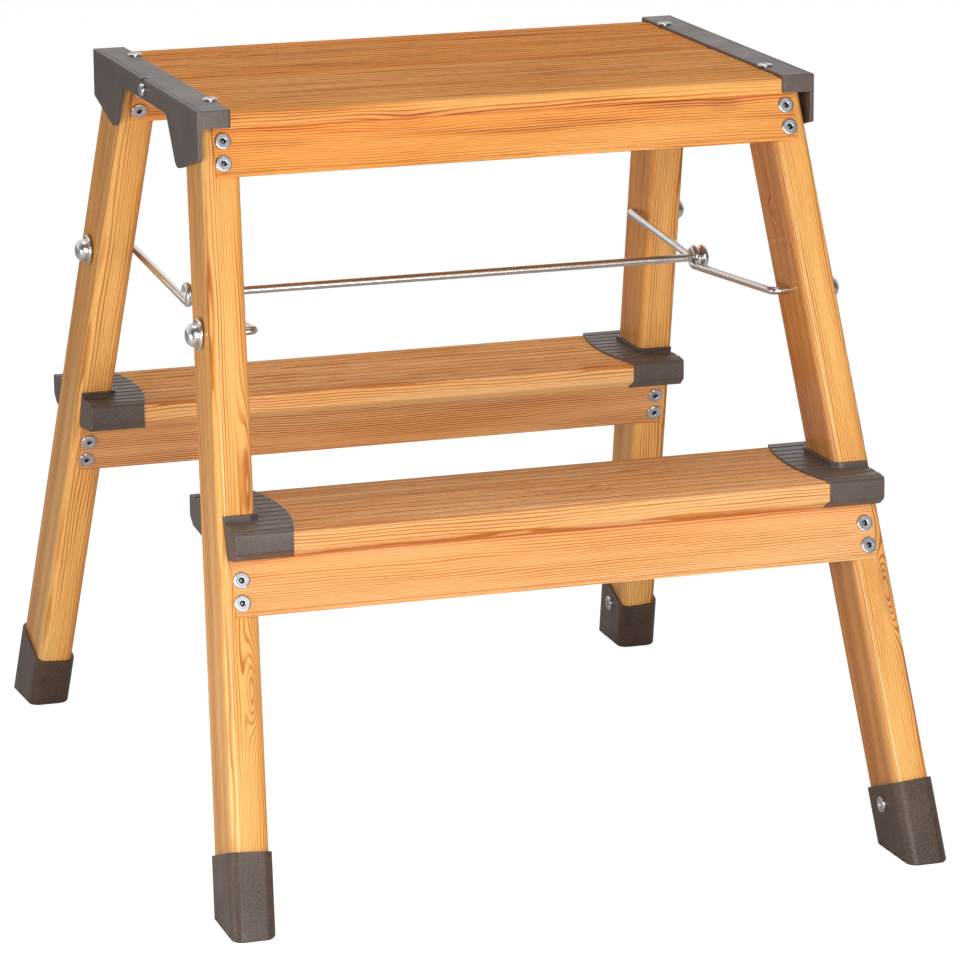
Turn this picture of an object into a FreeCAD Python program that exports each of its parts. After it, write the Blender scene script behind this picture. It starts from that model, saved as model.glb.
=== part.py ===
import FreeCAD, Part
import math
import os

# Folding step stool: two A-frame halves on one hinge line, held open by a jointed wire brace.
# +Z is up, +X to the right, and the front frame stands on the -Y side.
# The origin is on the floor, midway between the four feet.
# The rear frame is the front frame turned half a turn about Z.

Vector = FreeCAD.Vector

# Stance of the open stool: millimetres, and degrees where said
TOP_HEIGHT = 450.0        # floor to the top of the hinge caps
STEP_HEIGHT = 224.5       # floor to the top of the lower steps' end caps
LEG_LEAN = 20.07          # legs off the vertical, front to back, degrees
LEG_SPLAY = 4.27          # legs off the vertical, sideways, degrees
LEG_TOP_SIDE = 172.7      # leg's centre line at TOP_HEIGHT, sideways from the middle
LEG_TOP_OUT = 85.3        # leg's centre line at TOP_HEIGHT, outwards from the hinge line

# Leg tube
LEG_WIDTH = 22.5
LEG_DEPTH = 43.5
LEG_CORNER = 5.0
LEG_WALL = 1.6
LEG_TOP_GAP = 0.3         # leg's top end below the platform sheet

# Extruded sheet of the platform and the steps
SHEET = 1.6
SEAT_GAP = 0.05           # between a sheet and the leg or cap that it lies on
BEAD_HEIGHT = 2.2         # thicker band along an apron's bottom edge
BEAD_PROUD = 0.5

# Platform halves
PLATFORM_END = 7.3        # platform's end beyond the leg's centre line
PLATFORM_APRON = 37.0     # top of the ribs to the apron's bottom edge
PLATFORM_BAND = 9.0       # height of the front edge band
PLATFORM_NOSE = 6.1       # front edge band out from the apron
PLATFORM_ROUND = 3.0      # rounding of the front edge
PLATFORM_RIB_HEIGHT = 0.5
PLATFORM_RIB_WIDTH = 5.2
PLATFORM_RIB_PITCH = 7.4
PLATFORM_FRONT_STRIP = 11.0   # plain strip along the front edge
PLATFORM_SEAM_STRIP = 6.0     # plain strip along the hinge line
MATE_GAP = 0.8            # between the two halves at the hinge line
LIP_CLEAR = 0.5           # inner lip's lower edge above the hinge axis

# Hinge end caps
CAP_TOP = 2.0             # cap plate over the platform
CAP_WALL = 2.5            # outer wall
CAP_FRONT = 2.0           # front plate
CAP_FRONT_DROP = 10.7     # top of the cap to the front plate's lower edge
CAP_INNER = 2.3           # inner edge of the cap plate inside the leg's centre line
CAP_LEG_GAP = 0.75        # between the leg and the outer wall at the tab's tip
CAP_CORNER = 1.6          # plan rounding of the cap's front corners
CAP_EDGE = 0.8            # rounding of the cap's upper edges
CAP_LINE = 0.4            # fine groove between the outer wall and the top and front plates
TAB_SHOULDER = 29.0       # top of the cap to the tab's front corner
TAB_TIP = 42.0            # top of the cap to the tab's unrounded tip
TAB_TIP_INSET = 28.1      # tip inwards from the leg's centre line
TAB_ROUND = 9.0
ARCH_RUN = 21.1           # arch's corner inwards from the tab's tip
ARCH_ROUND = 8.0
PIVOT_DROP = 6.5          # top of the cap to the hinge axis
LUG_RADIUS = 6.0
LUG_GAP = 1.2             # round the outer lug
LUG_SIDE_GAP = 0.4        # between the outer and the inner lug
INNER_LUG_RADIUS = 3.9
INNER_LUG_THICK = 2.6
INNER_LUG_ROOT = 2.0      # root block of the inner lug, beyond the outer lug's clearance
INNER_LUG_LENGTH = 30.0

# Lower steps
TREAD_DEPTH = 99.0
TREAD_END = 7.4           # step's end beyond the leg's centre line, at the tread
STEP_APRON = 50.2         # top of the ribs to the apron's bottom edge
NOSE_FACE = 10.5          # height of the nose's upright face
NOSE_BEVEL_DROP = 4.5
NOSE_BEVEL_RUN = 6.0
NOSE_ROUND = 1.6
UNDER_FALL = 3.0          # nose's lower edge down to where it meets the apron
STEP_RIB_HEIGHT = 0.9
STEP_RIB_WIDTH = 6.9
STEP_RIB_PITCH = 9.3
STEP_RIB_MARGIN = 4.0
TREAD_LEG_GAP = 0.4       # round the leg where it passes through the tread

# Lower steps' end caps
STEP_CAP = 1.5            # cap over the ribs, its own ribs included
STEP_CAP_RIB = 0.5
STEP_CAP_END = 1.5        # end plate beyond the tread's end
STEP_CAP_REACH = 42.0     # cap's end to the crown of its curved inner edge
STEP_CAP_CURVE = 166.0    # radius of that edge
COLLAR_HEIGHT = 3.0       # collar round the leg above the cap
COLLAR_WALL = 2.0
CAP_LEG_FIT = 0.2         # between the collar and the leg

# Feet
FOOT_RIM = 42.6           # floor to the rim, along the leg
FOOT_SOLE = 12.0          # floor to the leg's end, along the leg
FOOT_WALL = 1.8
FOOT_FIT = 0.15
FOOT_CHAMFER = 1.0
GROOVE_WIDTH = 2.6
GROOVE_DEPTH = 2.6
GROOVE_PITCH = 10.6
GROOVE_COUNT = 4

# Wire brace
BRACE_HEIGHT = 321.5      # floor to the arms' pivots in the legs
BRACE_DROOP = 4.5         # rod below those pivots
WIRE_RADIUS = 2.4
ROD_RADIUS = 2.5
ROD_CHAMFER = 0.5
EYE_FIT = 0.3             # between an eye and the rod
EYE_SWEEP = 265.0         # degrees of wire round the rod
BEND_RADIUS = 4.4
ARM_LEG_GAP = 2.6         # between a rear arm and the leg's inner face, at the pivot
ARM_SIDE_GAP = 0.4        # between the front and rear arms' eyes
BRACE_FIT = 0.08          # running fit of the arms in the legs
DOME_FLANGE_RADIUS = 9.4
DOME_FLANGE = 1.6
DOME_RADIUS = 7.0
DOME_HEIGHT = 6.4
DOME_CROWN = 0.8          # rounding of the dome, share of its height
DOME_BORE = 5.0
DOME_SEAT = 0.3           # between the flange and the leg

# Fasteners
FIT = 0.05                # round a rivet, screw or pin in its hole
RIVET_EDGE = 7.5          # apron's lower edge to the first rivet, upright
RIVET_PITCH = 12.4
RIVET_RADIUS = 2.4
RIVET_BORE = 1.5
RIVET_HEAD_RADIUS = 5.0
RIVET_HEAD = 1.6
RIVET_RIM = 0.6           # rounding of the head's rim, share of its height
RIVET_MOUTH = 0.3         # rounding of the bore's mouth, share of the head's height
RIVET_TAIL_RADIUS = 3.1
RIVET_TAIL = 2.4
RIVET_TAIL_ROUND = 0.8
SCREW_RADIUS = 1.9
SCREW_CROWN = 0.75        # rounding of a screw's head, share of its height
SCREW_POINT = 0.25        # rounding of a screw's tip, share of its radius
CAP_SCREW_HEAD_RADIUS = 4.5
CAP_SCREW_HEAD = 1.4
PLUG_HEIGHT = 8.0         # plug in the leg's top that takes the cap screw
PLUG_FIT = 0.1
FOOT_SCREW_HEIGHT = 29.3
FOOT_SCREW_HEAD_RADIUS = 5.0
FOOT_SCREW_HEAD = 1.8
FOOT_SCREW_TAIL = 4.0
PIVOT_RADIUS = 2.0
PIVOT_HEAD_RADIUS = 3.9
PIVOT_HEAD = 2.2
PIVOT_SEAT = 0.2          # under the pivot screw's head and nut
NUT_WIDTH = 7.0           # across flats
NUT_HEIGHT = 2.4
RECESS_WIDTH = 1.1        # cross recess of the screws
RECESS_SHARE = 0.55       # of the head's radius
RECESS_DEPTH = 0.9

# Values worked out from the driving dimensions
LEAN = math.tan(math.radians(LEG_LEAN))
LEAN_COS = math.cos(math.radians(LEG_LEAN))
LEAN_SIN = math.sin(math.radians(LEG_LEAN))
SPLAY = math.tan(math.radians(LEG_SPLAY))
HALF_DEPTH = LEG_DEPTH / 2 / LEAN_COS
HALF_WIDTH = LEG_WIDTH / 2 / math.cos(math.radians(LEG_SPLAY))
PLATFORM_TOP = TOP_HEIGHT - CAP_TOP
PLATFORM_DECK = PLATFORM_TOP - PLATFORM_RIB_HEIGHT
PLATFORM_BOTTOM = PLATFORM_TOP - PLATFORM_APRON
PLATFORM_HALF = LEG_TOP_SIDE + PLATFORM_END
LEG_TOP = PLATFORM_DECK - SHEET - LEG_TOP_GAP
STEP_TOP = STEP_HEIGHT - STEP_CAP
STEP_DECK = STEP_TOP - STEP_RIB_HEIGHT
STEP_BOTTOM = STEP_TOP - STEP_APRON
PIVOT_HEIGHT = TOP_HEIGHT - PIVOT_DROP
EYE_HEIGHT = BRACE_HEIGHT - BRACE_DROOP
ROOM = 2 * TOP_HEIGHT     # larger than the whole stool, for cutting planes


# Places

def spot(side, out, height):
    """Point of the front left quarter, by its distances from the middle."""
    return Vector(-side, -out, height)


def leg_side(height):
    """Distance of the leg's centre line from the middle, sideways."""
    return LEG_TOP_SIDE + SPLAY * (TOP_HEIGHT - height)


def leg_out(height):
    """Distance of the leg's centre line from the hinge line, outwards."""
    return LEG_TOP_OUT + LEAN * (TOP_HEIGHT - height)


def sheet_out(height, face):
    """Outer side of an apron (face 1) or of an inner flange (face -1) at a height."""
    return leg_out(height) + face * (HALF_DEPTH + (SEAT_GAP + SHEET) / LEAN_COS)


def leg_placement():
    """Frame of the front left leg: X across it to the middle, Y through it inwards, Z up it."""
    along = Vector(SPLAY, LEAN, 1).normalize()
    inward = Vector(0, along.z, -along.y).normalize()
    across = inward.cross(along)
    foot = spot(leg_side(0), leg_out(0), 0)
    return FreeCAD.Placement(FreeCAD.Matrix(
        across.x, inward.x, along.x, foot.x,
        across.y, inward.y, along.y, foot.y,
        across.z, inward.z, along.z, foot.z,
        0, 0, 0, 1))


def arm_side(end):
    """Upright plane of the front or rear arms, sideways from the middle."""
    rear = leg_side(BRACE_HEIGHT) - HALF_WIDTH - ARM_LEG_GAP - WIRE_RADIUS
    if end == "rear":
        return rear
    return rear - 2 * WIRE_RADIUS - ARM_SIDE_GAP


def along_leg(height):
    """Distance from the floor up the leg's centre line to a height."""
    return height * math.sqrt(1 + LEAN ** 2 + SPLAY ** 2)


# Outlines and prisms

def corner_arc(before, corner, after, radius):
    """Start, middle and end of the arc that rounds a corner."""
    to_before = (before - corner).normalize()
    to_after = (after - corner).normalize()
    half = to_before.getAngle(to_after) / 2
    inward = (to_before + to_after).normalize()
    reach = radius / math.tan(half)
    middle = corner + inward * (radius / math.sin(half) - radius)
    return corner + to_before * reach, middle, corner + to_after * reach


def outline_face(corners, place):
    """Face inside corners (u, v, radius); place turns a flat point into a point in space."""
    points = [Vector(u, v, 0) for u, v, radius in corners]
    arcs = []
    for i, (u, v, radius) in enumerate(corners):
        if radius > 0:
            arcs.append(corner_arc(points[i - 1], points[i], points[(i + 1) % len(points)], radius))
        else:
            arcs.append((points[i], points[i], points[i]))
    edges = []
    for i, (start, middle, end) in enumerate(arcs):
        if corners[i][2] > 0:
            edges.append(Part.Arc(place(start), place(middle), place(end)).toShape())
        following = arcs[(i + 1) % len(arcs)][0]
        if not end.isEqual(following, 1e-7):
            edges.append(Part.LineSegment(place(end), place(following)).toShape())
    return Part.Face(Part.Wire(edges))


def moved_path(path, distance):
    """Open path (u, v, radius) moved to its left; a negative distance moves it to its right."""
    moved = []
    for i, (u, v, radius) in enumerate(path):
        normals = []
        for a, b in ((i - 1, i), (i, i + 1)):
            if a >= 0 and b < len(path):
                run = Vector(path[b][0] - path[a][0], path[b][1] - path[a][1], 0).normalize()
                normals.append(Vector(-run.y, run.x, 0))
        mean = (normals[0] + normals[-1]) * 0.5
        shift = mean * (distance / mean.dot(mean))
        turn = normals[0].cross(normals[-1]).z
        if radius > 0 and turn > 0:
            radius = max(radius - distance, 0)
        elif radius > 0:
            radius = max(radius + distance, 0)
        moved.append((u + shift.x, v + shift.y, radius))
    return moved


def sideways_prism(corners, inner, outer):
    """Prism with an (out, height) outline between two distances sideways."""
    face = outline_face(corners, lambda p: spot(inner, p.x, p.y))
    return face.extrude(spot(outer, 0, 0) - spot(inner, 0, 0))


def slab(sides, outs, heights):
    """Box between two distances sideways, two outwards and two heights."""
    return Part.makeBox(sides[1] - sides[0], outs[1] - outs[0], heights[1] - heights[0],
                        spot(sides[1], outs[1], heights[0]))


def cross_bar(radius, sides, out, height):
    """Round bar along X between two distances sideways."""
    return Part.makeCylinder(radius, sides[1] - sides[0], spot(sides[0], out, height), Vector(-1, 0, 0))


def above(height):
    """Everything above a height, for cutting."""
    return Part.makeBox(2 * ROOM, 2 * ROOM, ROOM, Vector(-ROOM, -ROOM, height))


def below(height):
    """Everything below a height, for cutting."""
    return Part.makeBox(2 * ROOM, 2 * ROOM, ROOM, Vector(-ROOM, -ROOM, height - ROOM))


def between(shape, low, high):
    """Part of a shape between two heights."""
    return shape.cut([below(low), above(high)])


def leg_bar(grow, bottom, top, reach=0.0):
    """Bar with the leg's section grown all round, between two distances up the leg.

    reach lengthens the section sideways, away from the middle.
    """
    half_width = LEG_WIDTH / 2 + grow
    half_depth = LEG_DEPTH / 2 + grow
    corner = max(LEG_CORNER + grow, 0)
    section = [
        (-half_width - reach, -half_depth, corner),
        (half_width, -half_depth, corner),
        (half_width, half_depth, corner),
        (-half_width - reach, half_depth, corner),
    ]
    bar = outline_face(section, lambda p: Vector(p.x, p.y, bottom)).extrude(Vector(0, 0, top - bottom))
    bar.Placement = leg_placement()
    return bar


def turned(profile):
    """Solid of revolution about Z from corners (radius, height, rounding)."""
    face = outline_face(profile, lambda p: Vector(p.x, 0, p.y))
    return face.revolve(Vector(0, 0, 0), Vector(0, 0, 1), 360)


def aimed(shape, point, direction):
    """Copy of a shape with its Z axis laid along a direction from a point."""
    placed = shape.copy()
    placed.Placement = FreeCAD.Placement(point, FreeCAD.Rotation(Vector(0, 0, 1), direction))
    return placed


def ribs(start, stop, base, height, width, pitch):
    """Corners of a row of ribs on a deck, from start inwards to stop."""
    count = int((start - stop - width) / pitch) + 1
    first = start - (start - stop - width - pitch * (count - 1)) / 2
    corners = []
    for i in range(count):
        edge = first - i * pitch
        corners.append((edge, base, 0))
        corners.append((edge, base + height, height / 2))
        corners.append((edge - width, base + height, height / 2))
        corners.append((edge - width, base, 0))
    return corners


def beaded_edge(bottom, face):
    """Outer corners of an apron's lower edge with its bead."""
    top = bottom + BEAD_HEIGHT
    return [
        (sheet_out(bottom, face) + face * BEAD_PROUD, bottom, 0),
        (sheet_out(top, face) + face * BEAD_PROUD, top, 0),
        (sheet_out(top, face), top, 0),
    ]


# Fasteners

def pan_screw(head_radius, head, shank_radius, shank):
    """Cross-recessed pan-head screw: Z along it, its seat at the origin."""
    screw = turned([
        (0, -shank, 0),
        (shank_radius, -shank, shank_radius * SCREW_POINT),
        (shank_radius, 0, 0),
        (head_radius, 0, 0),
        (head_radius, head, head * SCREW_CROWN),
        (0, head, 0),
    ])
    arm = head_radius * RECESS_SHARE
    recess = []
    for length, width in ((arm, RECESS_WIDTH / 2), (RECESS_WIDTH / 2, arm)):
        recess.append(Part.makeBox(2 * length, 2 * width, 2 * RECESS_DEPTH,
                                   Vector(-length, -width, head - RECESS_DEPTH)))
    return screw.cut(recess)


def rivet():
    """Blind rivet: Z outwards, its seat at the origin."""
    grip = SHEET + SEAT_GAP + LEG_WALL + FIT
    return turned([
        (RIVET_BORE, -grip - RIVET_TAIL, 0),
        (RIVET_TAIL_RADIUS, -grip - RIVET_TAIL, RIVET_TAIL_ROUND),
        (RIVET_TAIL_RADIUS, -grip, RIVET_TAIL_ROUND),
        (RIVET_RADIUS, -grip, 0),
        (RIVET_RADIUS, 0, 0),
        (RIVET_HEAD_RADIUS, 0, 0),
        (RIVET_HEAD_RADIUS, RIVET_HEAD, RIVET_HEAD * RIVET_RIM),
        (RIVET_BORE, RIVET_HEAD, RIVET_HEAD * RIVET_MOUTH),
    ])


def rivet_places(bottom):
    """Seat and outward direction of each rivet on the left leg, for an apron ending at bottom."""
    outward = Vector(0, -LEAN_COS, LEAN_SIN)
    places = []
    for face in (1, -1):
        for rise in (RIVET_EDGE, RIVET_EDGE + RIVET_PITCH):
            height = bottom + rise
            places.append((spot(leg_side(height), sheet_out(height, face), height), outward * face))
    return places


def rivet_holes(bottom):
    """Cutters for the rivets through a sheet and the leg's near wall."""
    reach = SHEET + SEAT_GAP + LEG_WALL
    hole = Part.makeCylinder(RIVET_RADIUS + FIT, reach + 2 * SHEET, Vector(0, 0, -reach - SHEET))
    return [aimed(hole, point, direction) for point, direction in rivet_places(bottom)]


def cap_screw_axis():
    """Point on the hinge cap's top where the cap screw enters the leg's plug."""
    return spot(leg_side(LEG_TOP), leg_out(LEG_TOP), TOP_HEIGHT)


def cap_screw_hole(clearance):
    """Cutter along the cap screw."""
    depth = TOP_HEIGHT - LEG_TOP + PLUG_HEIGHT
    return Part.makeCylinder(SCREW_RADIUS + clearance, 2 * depth, cap_screw_axis() - Vector(0, 0, depth))


def foot_screw_placement():
    """Frame of the foot screw: Z out of the boot's face towards the middle, seat at the origin."""
    seat = Vector(LEG_WIDTH / 2 + FOOT_FIT + FOOT_WALL, 0, along_leg(FOOT_SCREW_HEIGHT))
    turn = FreeCAD.Rotation(Vector(0, 0, 1), Vector(1, 0, 0))
    return leg_placement().multiply(FreeCAD.Placement(seat, turn))


def foot_screw_hole():
    """Cutter along the foot screw, through the boot's wall and the leg's near wall."""
    reach = FOOT_WALL + FOOT_FIT + LEG_WALL + FOOT_SCREW_TAIL
    hole = Part.makeCylinder(SCREW_RADIUS + FIT, reach + FOOT_WALL, Vector(0, 0, -reach))
    hole.Placement = foot_screw_placement()
    return hole


# Pieces of the front left quarter

def leg():
    """Leg: a thin rounded tube, square at the foot and level under the platform."""
    top = along_leg(TOP_HEIGHT)
    tube = leg_bar(0, FOOT_SOLE, top).cut(leg_bar(-LEG_WALL, FOOT_SOLE - LEG_WALL, top + LEG_WALL))
    holes = rivet_holes(PLATFORM_BOTTOM) + rivet_holes(STEP_BOTTOM) + [foot_screw_hole()]
    brace_hole = cross_bar(WIRE_RADIUS + BRACE_FIT, (0, leg_side(0) + LEG_WIDTH),
                           leg_out(BRACE_HEIGHT), BRACE_HEIGHT)
    return tube.cut(holes + [brace_hole, above(LEG_TOP)])


def leg_plug():
    """Plug in the leg's top end, under the cap screw."""
    bar = leg_bar(-LEG_WALL - PLUG_FIT, 0, along_leg(TOP_HEIGHT))
    return between(bar, LEG_TOP - PLUG_HEIGHT, LEG_TOP).cut(cap_screw_hole(FIT))


def foot():
    """Boot on the leg's lower end, with a grooved sole."""
    boot = leg_bar(FOOT_FIT + FOOT_WALL, -FOOT_RIM, FOOT_RIM).cut(below(0))
    sole_edges = [edge for edge in boot.Edges if edge.BoundBox.ZMax < FIT]
    boot = boot.makeChamfer(FOOT_CHAMFER, sole_edges)
    cutters = [leg_bar(FOOT_FIT, FOOT_SOLE, FOOT_RIM + FOOT_SOLE), foot_screw_hole()]
    first = leg_out(0) - GROOVE_PITCH * (GROOVE_COUNT - 1) / 2
    for i in range(GROOVE_COUNT):
        middle = first + GROOVE_PITCH * i
        cutters.append(slab((0, leg_side(0) + LEG_DEPTH),
                            (middle - GROOVE_WIDTH / 2, middle + GROOVE_WIDTH / 2),
                            (-GROOVE_DEPTH, GROOVE_DEPTH)))
    return boot.cut(cutters)


def foot_screw():
    """Screw through the boot into the leg."""
    reach = FOOT_WALL + FOOT_FIT + LEG_WALL + FOOT_SCREW_TAIL
    screw = pan_screw(FOOT_SCREW_HEAD_RADIUS, FOOT_SCREW_HEAD, SCREW_RADIUS, reach)
    screw.Placement = foot_screw_placement()
    return screw


def cap_screw():
    """Screw down through the hinge cap and the platform into the leg's plug."""
    shank = TOP_HEIGHT - LEG_TOP + PLUG_HEIGHT
    screw = pan_screw(CAP_SCREW_HEAD_RADIUS, CAP_SCREW_HEAD, SCREW_RADIUS, shank)
    return aimed(screw, cap_screw_axis(), Vector(0, 0, 1))


def cap_sides():
    """Inner edge and outer face of the hinge cap, sideways."""
    tip = TOP_HEIGHT - TAB_TIP
    outer = leg_side(tip) + HALF_WIDTH + CAP_LEG_GAP + CAP_WALL
    return LEG_TOP_SIDE - CAP_INNER, outer


def platform_nose():
    """Front face of the platform's edge band, outwards."""
    return sheet_out(PLATFORM_DECK - PLATFORM_BAND, 1) + PLATFORM_NOSE


def cap_front():
    """Front face of the hinge cap, outwards."""
    return platform_nose() + SEAT_GAP + CAP_FRONT


def cap_wall_outline():
    """Outer wall of the hinge cap: a tab beside the leg and an arch up to the hinge."""
    tip_height = TOP_HEIGHT - TAB_TIP
    tip_out = leg_out(tip_height) - TAB_TIP_INSET
    arch = PIVOT_HEIGHT - LUG_RADIUS
    return [
        (MATE_GAP / 2, TOP_HEIGHT, 0),
        (MATE_GAP / 2, arch, 0),
        (tip_out - ARCH_RUN, arch, ARCH_ROUND),
        (tip_out, tip_height, TAB_ROUND),
        (cap_front(), TOP_HEIGHT - TAB_SHOULDER, CAP_CORNER),
        (cap_front(), TOP_HEIGHT, 0),
    ]


def hinge_cap(outer_lug):
    """End cap of a platform half, with the outer or the inner lug of the hinge."""
    inner, outer = cap_sides()
    wall = outer - CAP_WALL
    front = cap_front()
    plan = [
        (inner, MATE_GAP / 2, 0),
        (outer, MATE_GAP / 2, 0),
        (outer, front, CAP_CORNER),
        (inner, front, CAP_CORNER),
    ]
    plate = outline_face(plan, lambda p: spot(p.x, p.y, PLATFORM_TOP)).extrude(Vector(0, 0, CAP_TOP))
    drop = outline_face(plan, lambda p: spot(p.x, p.y, TOP_HEIGHT - CAP_FRONT_DROP))
    front_plate = drop.extrude(Vector(0, 0, CAP_FRONT_DROP - CAP_TOP)).cut(
        slab((0, ROOM), (0, front - CAP_FRONT), (0, ROOM)))
    side_wall = sideways_prism(cap_wall_outline(), wall, outer)
    cap = plate.fuse([front_plate, side_wall]).removeSplitter()
    top_edges = [edge for edge in cap.Edges
                 if edge.BoundBox.ZMin > TOP_HEIGHT - FIT and edge.BoundBox.YMin < -MATE_GAP]
    cap = cap.makeFillet(min(CAP_EDGE, CAP_TOP / 2), top_edges)
    pin_hole = cross_bar(PIVOT_RADIUS + FIT, (0, ROOM), 0, PIVOT_HEIGHT)
    if outer_lug:
        lug = cross_bar(LUG_RADIUS, (wall, outer), 0, PIVOT_HEIGHT)
        cap = cap.fuse(lug)
    else:
        room = cross_bar(LUG_RADIUS + LUG_GAP, (wall - LUG_SIDE_GAP, outer + CAP_WALL), 0, PIVOT_HEIGHT)
        cap = cap.cut(room).fuse(inner_lug(wall))
    return cap.removeSplitter().cut([pin_hole, cap_screw_hole(FIT)] + cap_lines(wall, front))


def cap_lines(wall, front):
    """Cutters for the fine groove along the outer wall, over the cap's top and down its front."""
    sides = (wall - CAP_LINE / 2, wall + CAP_LINE / 2)
    high = TOP_HEIGHT + CAP_LINE
    return [
        slab(sides, (0, front), (TOP_HEIGHT - CAP_LINE, high)),
        slab(sides, (front - CAP_LINE, front + CAP_LINE), (TOP_HEIGHT - CAP_FRONT_DROP, high)),
    ]


def inner_lug(wall):
    """Inner lug of the hinge: a round-ended plate on a root block behind the outer wall."""
    outer = wall - LUG_SIDE_GAP
    inner = outer - INNER_LUG_THICK
    root = LUG_RADIUS + LUG_GAP + INNER_LUG_ROOT
    low = PIVOT_HEIGHT - INNER_LUG_RADIUS
    high = PIVOT_HEIGHT + INNER_LUG_RADIUS
    plate = slab((inner, outer), (0, INNER_LUG_LENGTH), (low, high))
    disc = cross_bar(INNER_LUG_RADIUS, (inner, outer), 0, PIVOT_HEIGHT)
    block = slab((inner, wall), (root, INNER_LUG_LENGTH), (low, PLATFORM_TOP))
    return plate.fuse([disc, block])


def step_path():
    """Outer side of the step's profile, from the apron's foot over the tread to the inner flange."""
    middle = leg_out(STEP_TOP)
    face = STEP_DECK - NOSE_FACE
    edge = face - NOSE_BEVEL_DROP
    under = edge - UNDER_FALL
    outer = middle + TREAD_DEPTH / 2
    inner = middle - TREAD_DEPTH / 2
    return [
        (sheet_out(STEP_BOTTOM, 1), STEP_BOTTOM, 0),
        (sheet_out(under, 1), under, 0),
        (outer - NOSE_BEVEL_RUN, edge, NOSE_ROUND),
        (outer, face, NOSE_ROUND),
        (outer, STEP_DECK, NOSE_ROUND),
        (inner, STEP_DECK, NOSE_ROUND),
        (inner, face, NOSE_ROUND),
        (inner + NOSE_BEVEL_RUN, edge, NOSE_ROUND),
        (sheet_out(under, -1), under, 0),
        (sheet_out(STEP_BOTTOM, -1), STEP_BOTTOM, 0),
    ]


def step_half():
    """Half-length of the step."""
    return leg_side(STEP_TOP) + TREAD_END


def leg_slot(grow):
    """Room for the leg in the step and its cap, open at the end."""
    return leg_bar(grow, 0, along_leg(TOP_HEIGHT), reach=LEG_DEPTH)


def step_cap():
    """End cap of a step: a shell over the nose and tread, closed at the end, with a collar."""
    end = step_half() + STEP_CAP_END
    crown = end - STEP_CAP_REACH
    under = moved_path(cap_seat_path(), -SEAT_GAP)
    shell = moved_path(under, -STEP_CAP + STEP_CAP_RIB + SEAT_GAP)
    outer, inner = shell[2], shell[3]
    rib_row = ribs(outer[0] - STEP_RIB_MARGIN, inner[0] + STEP_RIB_MARGIN, outer[1],
                   STEP_CAP_RIB, STEP_RIB_WIDTH, STEP_RIB_PITCH)
    cover = sideways_prism(shell[:3] + rib_row + shell[3:] + under[::-1], crown, end)
    end_plate = sideways_prism(shell + [step_path()[8], step_path()[1]], end - STEP_CAP_END + SEAT_GAP, end)
    collar = between(leg_slot(CAP_LEG_FIT + COLLAR_WALL), STEP_TOP + SEAT_GAP, STEP_HEIGHT + COLLAR_HEIGHT)
    beyond = slab((end, end + ROOM), (-ROOM, ROOM), (0, ROOM))
    curve = Part.makeCylinder(STEP_CAP_CURVE, ROOM, spot(crown + STEP_CAP_CURVE, leg_out(STEP_TOP), 0))
    cap = cover.fuse([end_plate, collar.cut(beyond)]).common(curve)
    return cap.cut(leg_slot(CAP_LEG_FIT)).removeSplitter()


def cap_seat_path():
    """Side of the step that its end cap lies on: bevel, nose, tops of the ribs, nose, bevel."""
    path = step_path()[2:8]
    low_outer, face_outer, outer, inner, face_inner, low_inner = path
    return [
        (low_outer[0], low_outer[1], 0),
        face_outer,
        (outer[0], STEP_TOP, NOSE_ROUND),
        (inner[0], STEP_TOP, NOSE_ROUND),
        face_inner,
        (low_inner[0], low_inner[1], 0),
    ]


def dome_cap():
    """Dome nut on the end of a brace arm, outside the leg."""
    cap = turned([
        (0, DOME_BORE, 0),
        (WIRE_RADIUS + FIT, DOME_BORE, 0),
        (WIRE_RADIUS + FIT, 0, 0),
        (DOME_FLANGE_RADIUS, 0, 0),
        (DOME_FLANGE_RADIUS, DOME_FLANGE, DOME_FLANGE / 2),
        (DOME_RADIUS, DOME_FLANGE, 0),
        (DOME_RADIUS, DOME_FLANGE + DOME_HEIGHT, DOME_HEIGHT * DOME_CROWN),
        (0, DOME_FLANGE + DOME_HEIGHT, 0),
    ])
    return aimed(cap, spot(dome_seat(), leg_out(BRACE_HEIGHT), BRACE_HEIGHT), Vector(-1, 0, 0))


def dome_seat():
    """Inner face of the dome cap's flange, sideways, clear of the splayed leg."""
    return leg_side(BRACE_HEIGHT - DOME_FLANGE_RADIUS) + HALF_WIDTH + DOME_SEAT


def brace_arm(side):
    """Wire arm: through the leg, bent into an upright plane, and curled round the rod."""
    eye = ROD_RADIUS + EYE_FIT + WIRE_RADIUS
    pivot = spot(side, leg_out(BRACE_HEIGHT), BRACE_HEIGHT)
    centre = spot(side, 0, EYE_HEIGHT)
    span = (centre - pivot).Length
    dip = math.atan2(BRACE_DROOP, leg_out(BRACE_HEIGHT)) + math.asin(eye / span)
    run = Vector(0, math.cos(dip), -math.sin(dip))
    rise = Vector(0, math.sin(dip), math.cos(dip))
    start = Vector(-dome_seat() - DOME_BORE + FIT, pivot.y, pivot.z)
    touch = pivot + run * math.sqrt(span ** 2 - eye ** 2)
    bend = corner_arc(start, pivot, touch, BEND_RADIUS)

    def round_eye(degrees):
        turn = math.radians(degrees)
        return centre + (run * math.sin(turn) - rise * math.cos(turn)) * eye

    path = Part.Wire([
        Part.LineSegment(start, bend[0]).toShape(),
        Part.Arc(*bend).toShape(),
        Part.LineSegment(bend[2], touch).toShape(),
        Part.Arc(touch, round_eye(EYE_SWEEP / 2), round_eye(EYE_SWEEP)).toShape(),
    ])
    section = Part.Wire(Part.Circle(start, Vector(1, 0, 0), WIRE_RADIUS).toShape())
    return path.makePipeShell([section], True, False)


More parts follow.
